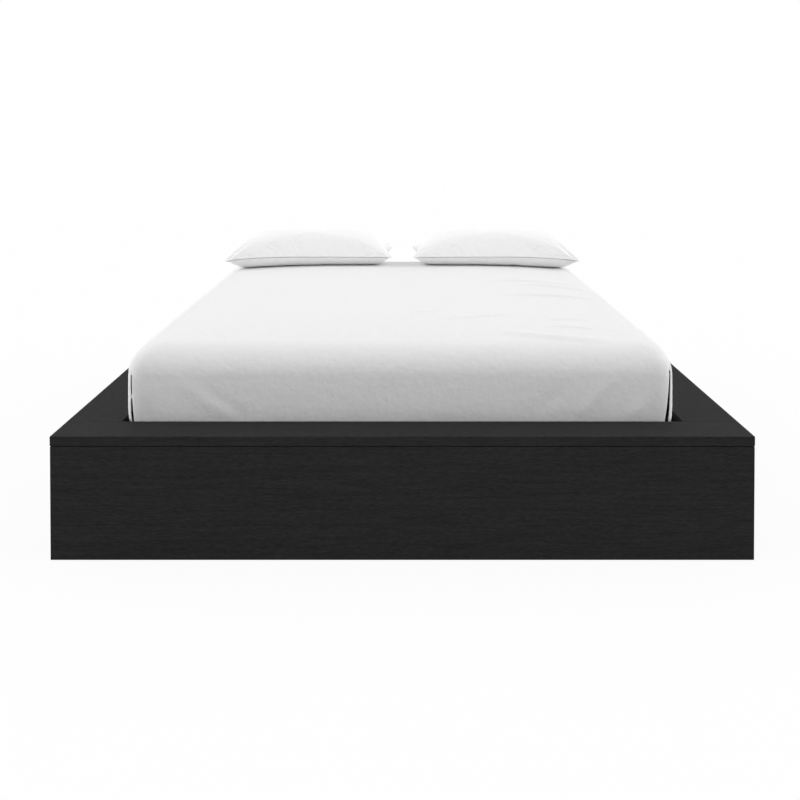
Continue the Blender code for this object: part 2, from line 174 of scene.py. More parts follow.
# Soft diagonal folds on the foot face: both ends in X and Z, height and width
face_folds = (
    ((-0.640, 0.452), (-0.470, 0.330), 0.0022, 0.016),
    ((-0.570, 0.440), (-0.420, 0.330), -0.0016, 0.016),
    ((0.720, 0.440), (0.630, 0.330), 0.0034, 0.017),
    ((0.600, 0.460), (0.490, 0.345), 0.0036, 0.017),
    ((0.450, 0.430), (0.380, 0.350), -0.0024, 0.016),
    ((0.140, 0.450), (0.090, 0.340), 0.0014, 0.022),
    ((-0.150, 0.440), (-0.110, 0.340), 0.0014, 0.024),
)

# Uneven swells of the cloth: height, how close together and which noise. They are calmer under the pillows.
swells = ((0.0012, 2.6, 1), (0.0007, 9.0, 2), (0.00025, 28.0, 3))
calm_share = 0.8
calm_before, calm_beyond = 0.05, 0.10

# How far a face has to look one way for the relief that is made for that way to start, and to be full
facing_limits = (0.3, 0.9)

# The pillows
pillow_columns = 110
pillow_rows = 110
face_points = (pillow_columns + 1) * (pillow_rows + 1)
column_spread = 0.85
row_spread = 0.97
side_pull = 0.026
end_pull = 0.022
tip_droop = 0.016
crown_shares = (4.0, 1.8, 0.43)
belly_shares = (8.0, 3.2, 1.0)
belly_power = 2.6
seam_height = 0.058
pillow_clearance = 0.0006

# Their cloth: how much larger it is than the pillow, elsewhere and near the seams, and how it settles
seam_band = 0.055
spare_cloth = 0.012
spare_at_seams = 0.060
cloth_frames = 15
cloth_quality = 6
cloth_mass = 0.001
air_damping = 2
cloth_stiffness = 40.0
cloth_bending = 0.02
cloth_damping = 5.0
fill_pressure = 1.5
below_share = 0.3

# The groove between their two faces along the seam, which nearly closes at the tips and on the short sides
groove_depth = 0.0100
groove_width = 0.0044
tip_reach = 0.030
closed_share = 0.05
end_seam_share = 0.25
side_margin = 0.01
sharp_angle = 60

# The camera and the studio
camera_back = 2.9285
camera_up = 0.8141
camera_pitch = 1.2
lens = 50
sensor_width = 36
shift = (-0.0029, -0.3092)
floor_size = 60
sky_level = 0.70
side_level = 3.3
front_level = 0.30
floor_colour = (0.40, 0.40, 0.40)
floor_glow = 1.10
floor_white_share = 0.85


# Materials

# The sockets of a Mix node that mixes colours
mix_first, mix_second, mix_result = 6, 7, 2


def add_node(tree, kind, inputs=None, **settings):
    """Adds a shader node. An input is given by its name or number, and is a value or another's output."""
    made = tree.nodes.new(kind)
    for name, value in settings.items():
        setattr(made, name, value)
    for name, value in (inputs or {}).items():
        if isinstance(value, bpy.types.NodeSocket):
            tree.links.new(value, made.inputs[name])
        else:
            made.inputs[name].default_value = value
    return made


def new_material(name, **values):
    """A material with one Principled shader, whose sockets are set by name."""
    material = bpy.data.materials.new(name)
    material.use_nodes = True
    tree = material.node_tree
    shader = tree.nodes["Principled BSDF"]
    for socket, value in values.items():
        shader.inputs[socket.replace("_", " ")].default_value = value
    return material, tree, shader


def object_place(tree):
    """Places measured on the piece itself."""
    return add_node(tree, "ShaderNodeTexCoord").outputs["Object"]


def stretched_noise(tree, scale, detail=3.0, roughness=0.5, place=None):
    """Noise whose three axes have their own scales, in object coordinates unless a place is given."""
    mapping = add_node(tree, "ShaderNodeMapping", {"Vector": place or object_place(tree), "Scale": scale})
    inputs = {"Vector": mapping.outputs["Vector"], "Scale": 1.0, "Detail": detail, "Roughness": roughness}
    return add_node(tree, "ShaderNodeTexNoise", inputs).outputs["Fac"]


def wavy_place(tree, axis, reach):
    """Object coordinates that drift sideways along one axis, as the grain of a board does."""
    place = object_place(tree)
    mapping = add_node(tree, "ShaderNodeMapping", {"Vector": place, "Scale": along(axis, 2.2, 7.0)})
    inputs = {"Vector": mapping.outputs["Vector"], "Scale": 1.0, "Detail": 2.0}
    drift = add_node(tree, "ShaderNodeTexNoise", inputs).outputs["Color"]
    inputs = {0: drift, 1: along(axis, 0.0, reach)}
    sideways = add_node(tree, "ShaderNodeVectorMath", inputs, operation="MULTIPLY")
    inputs = {0: place, 1: sideways.outputs["Vector"]}
    return add_node(tree, "ShaderNodeVectorMath", inputs, operation="ADD").outputs["Vector"]


def ramp(tree, value, low, high, to_low=0.0, to_high=1.0):
    """A value mapped from one range to another, and kept inside it."""
    inputs = {"Value": value, "From Min": low, "From Max": high, "To Min": to_low, "To Max": to_high}
    return add_node(tree, "ShaderNodeMapRange", inputs).outputs["Result"]


def maths(tree, operation, first, second=None):
    """One step of shader arithmetic. A sine or an absolute value takes the first value alone."""
    inputs = {0: first}
    if second is not None:
        inputs[1] = second
    return add_node(tree, "ShaderNodeMath", inputs, operation=operation).outputs["Value"]


def mix_colours(tree, share, first, second):
    """A colour between two, by a share from 0 to 1. Each is three levels or another node's output."""
    inputs = {0: share}
    for socket, colour in ((mix_first, first), (mix_second, second)):
        inputs[socket] = colour if isinstance(colour, bpy.types.NodeSocket) else (*colour, 1.0)
    return add_node(tree, "ShaderNodeMix", inputs, data_type="RGBA").outputs[mix_result]


def paint(tree, shader, share, first, second):
    """Colours a material between two colours, by a share from 0 to 1."""
    tree.links.new(mix_colours(tree, share, first, second), shader.inputs["Base Color"])


def bump(tree, shader, heights):
    """Chains bumps, coarse ones first, into the shader's normal. Each has a height and a depth in metres."""
    normal = None
    for height, depth in heights:
        inputs = {"Height": height, "Distance": depth, "Strength": 1.0}
        if normal is not None:
            inputs["Normal"] = normal
        normal = add_node(tree, "ShaderNodeBump", inputs).outputs["Normal"]
    tree.links.new(normal, shader.inputs["Normal"])


def along(axis, low, high):
    """Scales of a noise that runs along one axis: low along it and high across it."""
    return tuple(low if name == axis else high for name in "xyz")


def weave(tree, pitch):
    """A plain weave on any side of a piece, from waves along the three axes."""
    parts = add_node(tree, "ShaderNodeSeparateXYZ", {"Vector": object_place(tree)})
    waves = []
    for axis in "XYZ":
        turns = maths(tree, "MULTIPLY", parts.outputs[axis], 2 * math.pi / pitch)
        waves.append(maths(tree, "SINE", turns))
    flat = maths(tree, "MULTIPLY", waves[0], waves[1])
    end = maths(tree, "MULTIPLY", waves[0], waves[2])
    side = maths(tree, "MULTIPLY", waves[1], waves[2])
    return maths(tree, "ADD", maths(tree, "ADD", flat, end), side)


def black_oak(axis):
    """Oak stained black, with its grain along one axis."""
    material, tree, shader = new_material(
        f"black_oak_{axis}", Roughness=0.65, Specular_IOR_Level=0.02, IOR=1.45
    )
    place = wavy_place(tree, axis, 0.04)
    streaks = stretched_noise(tree, along(axis, 5.0, 110.0), 3.0, 0.6, place)
    dashes = stretched_noise(tree, along(axis, 55.0, 260.0), 2.0, 0.6, place)
    pores = ramp(tree, stretched_noise(tree, along(axis, 60.0, 900.0), 1.0, 0.5, place), 0.58, 0.72)
    tone = maths(tree, "ADD", maths(tree, "MULTIPLY", streaks, 0.45), maths(tree, "MULTIPLY", dashes, 0.55))
    tone = maths(tree, "SUBTRACT", ramp(tree, tone, 0.30, 0.70), maths(tree, "MULTIPLY", pores, 0.25))
    paint(tree, shader, tone, (0.0218, 0.0218, 0.0219), (0.0405, 0.0405, 0.0406))
    tree.links.new(ramp(tree, streaks, 0.3, 0.7, 0.60, 0.72), shader.inputs["Roughness"])
    bump(tree, shader, [(dashes, 0.00015), (pores, -0.00012)])
    return material


def pine(axis):
    """Planed pine, with growth rings, fine fibres and a few knots."""
    material, tree, shader = new_material(f"pine_{axis}", Roughness=0.6, Specular_IOR_Level=0.35)
    figure = stretched_noise(tree, along(axis, 0.5, 7.0), 1.0, 0.4, wavy_place(tree, axis, 0.10))
    rings = maths(tree, "PINGPONG", maths(tree, "MULTIPLY", figure, 24.0), 1.0)
    fibres = stretched_noise(tree, along(axis, 6.0, 500.0), 3.0, 0.6)
    share = maths(tree, "ADD", maths(tree, "MULTIPLY", rings, 0.75), maths(tree, "MULTIPLY", fibres, 0.3))
    wood = mix_colours(tree, share, (0.70, 0.50, 0.29), (0.52, 0.33, 0.17))
    inputs = {"Vector": object_place(tree), "Scale": along(axis, 1.6, 9.0)}
    mapping = add_node(tree, "ShaderNodeMapping", inputs)
    cells = add_node(tree, "ShaderNodeTexVoronoi", {"Vector": mapping.outputs["Vector"], "Scale": 1.0})
    knots = ramp(tree, cells.outputs["Distance"], 0.05, 0.14, 1.0, 0.0)
    paint(tree, shader, knots, wood, (0.20, 0.10, 0.045))
    tree.links.new(ramp(tree, rings, 0.0, 1.0, 0.62, 0.52), shader.inputs["Roughness"])
    bump(tree, shader, [(rings, 0.00015), (fibres, 0.0001)])
    return material


def zinc_steel():
    """Zinc-plated steel with a faint spangle."""
    material, tree, shader = new_material("zinc_steel", Metallic=1.0, Roughness=0.35)
    cells = add_node(tree, "ShaderNodeTexVoronoi", {"Vector": object_place(tree), "Scale": 260.0})
    spangle = add_node(tree, "ShaderNodeSeparateColor", {"Color": cells.outputs["Color"]}).outputs[0]
    paint(tree, shader, spangle, (0.52, 0.53, 0.54), (0.64, 0.64, 0.63))
    tree.links.new(ramp(tree, spangle, 0.0, 1.0, 0.28, 0.44), shader.inputs["Roughness"])
    bump(tree, shader, [(stretched_noise(tree, (900.0, 900.0, 900.0)), 0.00003)])
    return material


def glide_plastic():
    """Moulded black plastic with a fine stipple."""
    material, tree, shader = new_material("glide_plastic", Roughness=0.5)
    stipple = stretched_noise(tree, (1400.0, 1400.0, 1400.0), 2.0)
    paint(tree, shader, stipple, (0.022, 0.022, 0.023), (0.036, 0.036, 0.036))
    bump(tree, shader, [(stipple, 0.00006)])
    return material


def webbing():
    """Woven strap with a coarse plain weave."""
    material, tree, shader = new_material("webbing", Roughness=0.85, Sheen_Weight=0.15)
    threads = weave(tree, 0.0022)
    slubs = stretched_noise(tree, (60.0, 500.0, 500.0), 2.0)
    paint(tree, shader, slubs, (0.66, 0.64, 0.59), (0.80, 0.78, 0.73))
    bump(tree, shader, [(threads, 0.0002), (slubs, 0.00008)])
    return material


def ticking():
    """The mattress's own knitted cover."""
    material, tree, shader = new_material("ticking", Roughness=0.9, Sheen_Weight=0.1)
    threads = weave(tree, 0.0016)
    clouds = stretched_noise(tree, (20.0, 20.0, 20.0), 3.0)
    paint(tree, shader, clouds, (0.78, 0.78, 0.76), (0.86, 0.86, 0.84))
    bump(tree, shader, [(clouds, 0.0006), (threads, 0.00012)])
    return material


def border_cloth():
    """Near-black cloth on the mattress's sides, which shows in the corner pleats alone: painted shade that
    darkens their slits.
    """
    material, tree, shader = new_material("border_cloth", Roughness=0.9, Specular_IOR_Level=0.1)
    threads = weave(tree, 0.0016)
    clouds = stretched_noise(tree, (30.0, 30.0, 30.0), 3.0)
    # Near-black: painted shade for the slits of the corner pleats
    paint(tree, shader, clouds, (0.016, 0.016, 0.017), (0.028, 0.028, 0.029))
    bump(tree, shader, [(threads, 0.00012)])
    return material


def cotton(name, white, creasing):
    """White cotton with a fine weave, slubs and shallow creases of a given depth."""
    material, tree, shader = new_material(
        name, Roughness=0.9, Specular_IOR_Level=0.15, Sheen_Weight=0.08, Sheen_Roughness=0.45
    )
    creases = stretched_noise(tree, (24.0, 24.0, 24.0), 2.0, 0.5)
    ripples = stretched_noise(tree, (50.0, 50.0, 50.0), 3.0, 0.6)
    slubs = stretched_noise(tree, (70.0, 900.0, 70.0), 2.0)
    threads = weave(tree, 0.0009)
    tone = ramp(tree, maths(tree, "ADD", ripples, slubs), 0.7, 1.3)
    paint(tree, shader, tone, tuple(part * 0.975 for part in white), white)
    depths = [(creases, creasing), (ripples, 1.1 * creasing), (slubs, 0.00004), (threads, 0.00002)]
    bump(tree, shader, depths)
    return material


def finish_frame():
    """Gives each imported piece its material, with the grain along the piece."""
    grains = {axis: (black_oak(axis), pine(axis)) for axis in "xyz"}
    others = {"zinc_steel": zinc_steel(), "glide_plastic": glide_plastic(), "webbing": webbing()}
    slots = {part["node"]: part["material_slot"] for part in frame["record"]["subparts"]}
    for name, obj in frame["nodes"].items():
        low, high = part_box(name)
        size = high - low
        axis = "xyz"[max(range(3), key=lambda i: size[i])]
        slot = slots[name]
        if slot in ("black_oak", "pine"):
            material = grains[axis][slot == "pine"]
        elif slot in others:
            material = others[slot]
        else:
            continue
        obj.data.materials.clear()
        obj.data.materials.append(material)


# Meshes


def add_mesh(name, points, faces, material):
    """A new object with a smooth mesh of one material."""
    mesh = bpy.data.meshes.new(name)
    mesh.from_pydata(points, [], faces)
    mesh.materials.append(material)
    mesh.shade_smooth()
    obj = bpy.data.objects.new(name, mesh)
    bpy.context.scene.collection.objects.link(obj)
    return obj


def through(points, counts):
    """A smooth curve through the given points, with its own count of steps to each next one."""
    rows = np.array(points, float)
    padded = np.vstack([2 * rows[0] - rows[1], rows, 2 * rows[-1] - rows[-2]])
    made = [rows[0]]
    for i, count in enumerate(counts):
        before, start, end, after = padded[i : i + 4]
        for step in range(1, count + 1):
            t = step / count
            square = 2 * before - 5 * start + 4 * end - after
            cube = 3 * start - before - 3 * end + after
            made.append((2 * start + (end - before) * t + square * t * t + cube * t**3) / 2)
    return np.array(made)


def smooth_step(value, low, high):
    """0 below one limit and 1 above the other, with a soft passage between them."""
    share = np.clip((value - low) / (high - low), 0, 1)
    return share * share * (3 - 2 * share)


def half_side(length):
    """Distances from a corner to the middle of a side: even over the corner, then wider apart."""
    step = corner_span / corner_steps
    at = corner_span
    tail = []
    while at < length:
        step = min(step * step_growth, widest_step)
        at += step
        tail.append(at)
    stretch = (length - corner_span) / (at - corner_span)
    places = [i * corner_span / corner_steps for i in range(corner_steps + 1)]
    return np.array(places + [corner_span + (t - corner_span) * stretch for t in tail])


grid_half_x = half_x - grid_margin
grid_half_y = half_y - grid_margin
side_places = half_side(grid_half_y)
end_places = half_side(grid_half_x)
side_rest = len(side_places) - corner_steps - 1
end_rest = len(end_places) - corner_steps - 1
corner_signs = ((1, 1), (-1, 1), (-1, -1), (1, -1))


def fold_points():
    """The pleat's path as one row a point: along, out, side flap share and slit side."""
    counts = [row[4] for row in pleat_path[:-1]]
    return through([row[:4] for row in pleat_path], counts)


def folded_corner(pleat, height):
    """Where a corner's points go at a height: along and out from it when folded, and along it when flat."""
    path = fold_points()
    edge = pleat_path[0][0]
    down = float(np.clip((pleat["top"] - height) / (pleat["top"] - ledge_high.z), 0, 1))
    first, last = pleat["slit"]
    slit = first + (last - first) * down
    if pleat["pinch"] is not None:
        slit *= 1 - math.exp(-(((height - pleat["pinch"]) / pinch_reach) ** 2))
    first, last = pleat["slide"]
    slide = first + (last - first) * down
    moves = np.abs(path[:, 3]) * slide + path[:, 3] * (slit - slit_width) / 2
    taper = 1 - (path[:, 0] / edge) ** 4
    folded = path[:, 0] + moves * taper
    behind = np.nonzero(path[:, 1] < -edge_depth)[0]
    before, after = behind[0] - 1, behind[-1] + 1
    flat = folded.copy()
    flat[before : after + 1] = np.linspace(folded[before], folded[after], after - before + 1)
    return folded, path[:, 1], flat


def corner_angles(along_corner):
    """Turns distances along the corner, from side to end, into angles round its centre."""
    return (1 - along_corner / pleat_path[0][0]) * math.pi / 4


def on_arc(centre, reach, angle):
    """Points round a centre, each at its angle and at a reach from the centre."""
    return centre + reach * np.stack([np.cos(angle), np.sin(angle)], axis=1)


def shares_left(places):
    """For each place beyond the corner, the share of its side that is left to the middle."""
    return 1 - (places[corner_steps + 1 :] - corner_span) / (places[-1] - corner_span)


def quarter_ring(half, out, height, radius, rounded, fold, pleat):
    """A ring's points from the middle of a side face, round the corner, to the middle of an end face."""
    reach_x, reach_y = half[0] + out, half[1] + out
    centre = np.array((reach_x - radius, reach_y - radius))
    steps = np.arange(-corner_steps, corner_steps + 1)
    angle = (1 + steps / corner_steps) * math.pi / 4
    if pleat is not None:
        folded, outward, flat = folded_corner(pleat, height)
        gathered = float(smooth_step(pleat["top"] + gather_reach - height, 0, gather_reach))
        angle = angle + (corner_angles(flat) - angle) * gathered
    corner = on_arc(centre, radius, angle)
    if fold > 0:
        corner += (on_arc(centre, (radius + outward)[:, None], corner_angles(folded)) - corner) * fold
    inward = np.abs(steps) / corner_steps * corner_span
    sharp_x = np.where(steps > 0, reach_x - inward, reach_x)
    sharp_y = np.where(steps < 0, reach_y - inward, reach_y)
    sharp = np.stack([sharp_x, sharp_y], axis=1)
    corner = sharp + (corner - sharp) * rounded
    side = np.stack([np.full(side_rest, reach_x), corner[0][1] * shares_left(side_places)], axis=1)[::-1]
    end = np.stack([corner[-1][0] * shares_left(end_places), np.full(end_rest, reach_y)], axis=1)
    return np.vstack([side, corner, end])


def flap_push(height):
    """How far the side flap stands out near its corner, by its distance from the corner."""
    distance = np.concatenate([side_places[:corner_steps:-1], np.zeros(2 * corner_steps + 1)])
    shares = np.concatenate([np.ones(side_rest), fold_points()[:, 2]])
    push = shares * np.exp(-((distance / flap_reach) ** 2)) * flap_flare
    return np.concatenate([push, np.zeros(end_rest)]) * smooth_step(sheet_top - height, *flap_depths)


def full_ring(half, row, folds):
    """Four quarter rings joined into one that runs counter-clockwise from the middle of the right side.

    It also returns how far each point is behind a hem, where no cloth is left.
    """
    out, height, radius, rounded = row
    hidden = fold_points()[:, 1] < -hem_depth
    behind_hem = np.concatenate([np.zeros(side_rest), hidden, np.zeros(end_rest)])
    ring = []
    for i, signs in enumerate(corner_signs):
        fold, pleat = folds[signs]
        quarter = quarter_ring(half, out, height, radius, rounded, fold, pleat)
        if fold > 0:
            quarter[:, 0] += flap_push(height) * fold
        quarter = np.column_stack([quarter * signs, behind_hem * fold])
        quarter = quarter if i % 2 == 0 else quarter[::-1]
        ring.append(quarter[1:] if i else quarter)
    points = np.vstack(ring)[:-1]
    return np.column_stack([points[:, :2], np.full(len(points), height)]), points[:, 2]


def side_scaled(places, length):
    """The same spread of places, fitted to another length beyond the corner."""
    tail = (places - corner_span) / (places[-1] - corner_span) * (length - corner_span)
    return np.where(places <= corner_span, places, corner_span + tail)


def grid_lines(places, length):
    """A grid's lines from one side to the other, which meet the points of the ring round it."""
    low = side_scaled(places, length) - length
    return np.concatenate([low, -low[-2::-1]])


def grid_points(half, out, height):
    """The points of a level grid that fills a ring, column by column."""
    xs = grid_lines(end_places, half[0] + out)
    ys = grid_lines(side_places, half[1] + out)
    grid_x, grid_y = np.meshgrid(xs, ys, indexing="ij")
    return np.stack([grid_x, grid_y, np.full(grid_x.shape, height)], axis=-1)


def grid_faces(index):
    """The faces of a grid, from the numbers of its points."""
    quads = np.stack([index[:-1, :-1], index[1:, :-1], index[1:, 1:], index[:-1, 1:]], axis=-1)
    return quads.reshape(-1, 4)


def band_faces(inner, outer):
    """The faces between two rings, from the numbers of their points."""
    return np.stack([inner, outer, np.roll(outer, -1), np.roll(inner, -1)], axis=1)


def grid_border(columns, lines):
    """The columns and lines of a grid's border, counter-clockwise from the middle of its right side."""
    right, top, middle = columns - 1, lines - 1, (lines - 1) // 2
    order = [(right, j) for j in range(middle, lines)]
    order += [(i, top) for i in range(right - 1, -1, -1)]
    order += [(0, j) for j in range(top - 1, -1, -1)]
    order += [(i, 0) for i in range(1, columns)]
    order += [(right, j) for j in range(1, middle)]
    return tuple(np.array(order).T)


def wrapped_mesh(name, half, rows, folds_at, material, closed=False):
    """A mesh over a rounded block: a grid on top, rings round its sides and, if closed, a grid below."""
    grid = grid_points(half, rows[0][0], rows[0][1])
    index = np.arange(grid.size // 3).reshape(grid.shape[:2])
    border = grid_border(*index.shape)
    points = [grid.reshape(-1, 3)]
    faces = [grid_faces(index)]
    inner = index[border]
    total = index.size
    ended_before = np.zeros(len(inner))
    for row in rows[1:]:
        ring, ended = full_ring(half, row, folds_at(row[1]))
        outer = total + np.arange(len(ring))
        hidden = np.minimum(ended_before, ended)
        kept = np.minimum(hidden, np.roll(hidden, -1)) <= 0.5
        faces.append(band_faces(inner, outer)[kept])
        points.append(ring)
        inner = outer
        ended_before = ended
        total += len(ring)
    if closed:
        below = total + index
        faces.append(band_faces(inner, below[border]))
        faces.append(grid_faces(below)[:, ::-1])
        points.append(grid_points(half, rows[-1][0], rows[-1][1]).reshape(-1, 3))
    used, faces = np.unique(np.vstack(faces), return_inverse=True)
    return add_mesh(name, np.vstack(points)[used].tolist(), faces.reshape(-1, 4).tolist(), material)


# The mattress and its sheet


def side_curve(steps):
    """The sheet's sides in section, as rows of out from the mattress and height."""
    high = sheet_top - roll_radius
    low = slat_top + rest_gap + bottom_radius
    points = [(cloth_out + share * side_swell, high + (low - high) * z) for z, share in side_shares]
    return through(points, [steps] * (len(points) - 1))


def quarter_turn(steps):
    """Angles from just after 0 to a right angle."""
    return [step / steps * math.pi / 2 for step in range(1, steps + 1)]


def sheet_rows():
    """The sheet's rings: out from the mattress, height, corner radius and how round the corner is."""
    shoulder = cloth_out + side_swell * side_shares[0][1]
    lead = grid_margin - roll_radius + shoulder
    rows = []
    for step in range(sheet_steps["lead"] + 1):
        share = step / sheet_steps["lead"]
        rows.append((-grid_margin + share * lead, sheet_top, min(share * lead_rounding, 1)))
    for angle in quarter_turn(sheet_steps["roll"]):
        out = shoulder - roll_radius * (1 - math.sin(angle))
        rows.append((out, sheet_top - roll_radius * (1 - math.cos(angle)), 1))
    sides = side_curve(sheet_steps["side"])
    rows.extend((out, z, 1) for out, z in sides[1:])
    bottom = slat_top + rest_gap
    low = bottom + bottom_radius
    edge = sides[-1][0]
    for angle in quarter_turn(sheet_steps["turn"]):
        rows.append((edge - bottom_radius * (1 - math.cos(angle)), low - bottom_radius * math.sin(angle), 1))
    start = edge - bottom_radius
    for step in range(1, sheet_steps["tuck"] + 1):
        rows.append((start + (-tuck - start) * step / sheet_steps["tuck"], bottom, 1))
    return [(out, z, corner_radius + max(out, 0), rounded) for out, z, rounded in rows]


def fold_shares(height):
    """How far each corner's pleat is open at a height. It closes where the sheet turns in underneath."""
    closing = float(smooth_step(height - slat_top, rest_gap, bottom_radius))
    return {
        signs: (closing * float(smooth_step(pleat["top"] - height, 0, pleat_rise)), pleat)
        for signs, pleat in pleats.items()
    }


def crease_height(x, y, start, end, bow, height, width, slope_share=1.0):
    """A low ridge between two points, bowed to one side, fading at its ends and wider on its left side."""
    run = np.subtract(end, start)
    length = np.linalg.norm(run)
    share = ((x - start[0]) * run[0] + (y - start[1]) * run[1]) / length**2
    across = ((y - start[1]) * run[0] - (x - start[0]) * run[1]) / length
    inside = np.clip(share, 0, 1)
    fade = np.clip(4 * inside * (1 - inside), 0, 1) ** crease_fade
    off = across - bow * 4 * inside * (1 - inside)
    reach = np.where(off > 0, width * slope_share, width)
    return height * fade * np.exp(-((off / reach) ** 2))


def soft_noise(points, scale, seed):
    """Smooth noise between about -1 and 1 at each point."""
    shift_by = Vector((seed * 7.3, seed * 3.1, seed * 5.7))
    return np.array([noise.noise(Vector(point) * scale + shift_by) for point in points])


def points_and_normals(obj):
    """The places of a mesh's points and the directions in which they look."""
    count = len(obj.data.vertices)
    places = np.zeros(count * 3)
    normals = np.zeros(count * 3)
    obj.data.vertices.foreach_get("co", places)
    obj.data.vertex_normals.foreach_get("vector", normals)
    return places.reshape(-1, 3), normals.reshape(-1, 3)


def move_points(obj, places):
    """Gives a mesh's points new places."""
    obj.data.vertices.foreach_set("co", places.ravel())
    obj.data.update()


def displace(obj, offsets):
    """Moves each point along its normal."""
    places, normals = points_and_normals(obj)
    move_points(obj, places + normals * offsets[:, None])


def crown_at(x, y):
    """How far the bed's top stands above its edges, at places measured from its middle."""
    across = np.clip(1 - np.abs(x / crown_half_x) ** crown_power_x, 0, 1)
    lengthwise = np.clip(1 - np.abs(y / crown_half_y) ** crown_power_y, 0, 1)
    return crown_height * (across * lengthwise) ** crown_softness


def facing(parts):
    """How far faces look one way, from their normals' parts that way: from 0 for aside to 1 for straight."""
    return smooth_step(parts, *facing_limits)


def sheet_relief(places, normals):
    """How far the sheet stands out from its plain form: creases, folds, fuller shoulders and swells."""
    x, y, z = places.T
    upward = facing(normals[:, 2])
    footward = facing(-normals[:, 1])
    raised = np.zeros(len(x))
    for start, end, bow, height, width in top_creases:
        raised += upward * crease_height(x + middle_x, y, start, end, bow, height, width, back_slope)
    for start, end, height, width in face_folds:
        raised += footward * crease_height(x + middle_x, z, start, end, 0.0, height, width)
    sideways = np.clip(2 * np.abs(normals[:, 0]) * normals[:, 2], 0, 1)
    raised += sideways * np.where(x < 0, *shoulder_fullness)
    raised += footward * face_fullness * smooth_step(-z, -face_fullness_from, -face_fullness_to)
    pillow_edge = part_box("pillow_left")[0].y
    under_pillows = smooth_step(y, pillow_edge - calm_before, pillow_edge + calm_beyond)
    calm = 1 - calm_share * under_pillows * upward
    for height, scale, seed in swells:
        raised += height * soft_noise(places, scale, seed) * calm
    return raised


def make_sheet(material):
    """The sheet, tucked in round the mattress. Its relief fades beside the pleats."""
    sheet = wrapped_mesh("tucked_sheet", (half_x, half_y), sheet_rows(), fold_shares, material)
    places, normals = points_and_normals(sheet)
    x, y, z = places.T
    from_corner = np.hypot(half_x - np.abs(x), half_y - np.abs(y))
    clear = smooth_step(from_corner, corner_fade, 2 * corner_fade)
    free = np.maximum(clear, smooth_step(z, *fade_heights))
    displace(sheet, sheet_relief(places, normals) * free + facing(normals[:, 2]) * crown_at(x, y))
    sheet.location.x = middle_x
    thickness = sheet.modifiers.new("cloth", "SOLIDIFY")
    thickness.thickness = cloth_thickness
    thickness.offset = -1
    return sheet


def mattress_rows():
    """The mattress's rings, which follow the sheet's a little inside them."""
    top = sheet_top - mattress_gap
    radius = roll_radius - mattress_gap
    inside = corner_radius - mattress_gap
    roll_middle = cloth_out + side_swell * side_shares[0][1] - roll_radius
    rows = []
    for share in np.linspace(0, 1, mattress_steps["lead"] + 1):
        rows.append((-grid_margin + share * (grid_margin + roll_middle), top, inside, share))
    for angle in quarter_turn(mattress_steps["roll"]):
        out = roll_middle + radius * math.sin(angle)
        rows.append((out, top - radius * (1 - math.cos(angle)), inside + max(out, 0), 1.0))
    for out, height in side_curve(mattress_steps["side"])[1:]:
        rows.append((out - mattress_gap, height, inside + max(out, 0), 1.0))
    edge, low = rows[-1][:2]
    bottom = mattress_low.z
    radius = low - bottom
    for angle in quarter_turn(mattress_steps["turn"]):
        rows.append((edge - radius * (1 - math.cos(angle)), low - radius * math.sin(angle), inside, 1.0))
    rows.append((-tuck / 2, bottom, inside, 1.0))
    rows.append((-tuck, bottom, inside, 0.5))
    return rows


def make_mattress(material, border):
    """The mattress itself: its underside shows between the slats, and its near-black border, painted shade,
    in the corner pleats.
    """
    half = (half_x, half_y)
    unfolded = {signs: (0.0, None) for signs in corner_signs}
    rows = mattress_rows()
    mattress = wrapped_mesh("quilted_mattress", half, rows, lambda height: unfolded, material, closed=True)
    places, normals = points_and_normals(mattress)
    x, y = places[:, 0], places[:, 1]
    waves = [np.abs(np.sin(line * math.pi / quilt_pitch)) for line in (x + y, x - y)]
    stitched = 1 - np.sqrt(waves[0] * waves[1])
    below = smooth_step(-normals[:, 2], *quilt_facing)
    displace(mattress, facing(normals[:, 2]) * crown_at(x, y) - quilt_depth * below * stitched)
    # The near-black side cloth is painted shade, seen through the pleats' slits
    mattress.data.materials.append(border)
    for face in mattress.data.polygons:
        face.material_index = 1 if abs(face.normal.z) < painted_shade_slope else 0
    mattress.location.x = middle_x
    return mattress


# The pillows


def spread(count, tightness):
    """Shares from -1 to 1, closer together towards both ends."""
    reach = math.pi / 2 * tightness
    return np.sin(np.linspace(-1, 1, count + 1) * reach) / math.sin(reach)


def fullness(u, v, shares):
    """How full the pillow is between its edges, from 0 at a seam to 1 in the middle."""
    along_share, across_share, round_share = shares
    return ((1 - np.abs(u) ** along_share) * (1 - np.abs(v) ** across_share)) ** round_share


def both_faces(values):
    """Values for all points of the top face, then for those of the bottom face inside the seam."""
    flat = values.reshape(-1, *values.shape[2:])
    return np.concatenate([flat, values[1:-1, 1:-1].reshape(-1, *values.shape[2:])])


def rest_heights(places, middle):
    """How high the bed's top is under points of a pillow, which are measured from the pillow's middle."""
    return crown_at(places[..., 0] + middle[0] - middle_x, places[..., 1] + middle[1]) + pillow_clearance


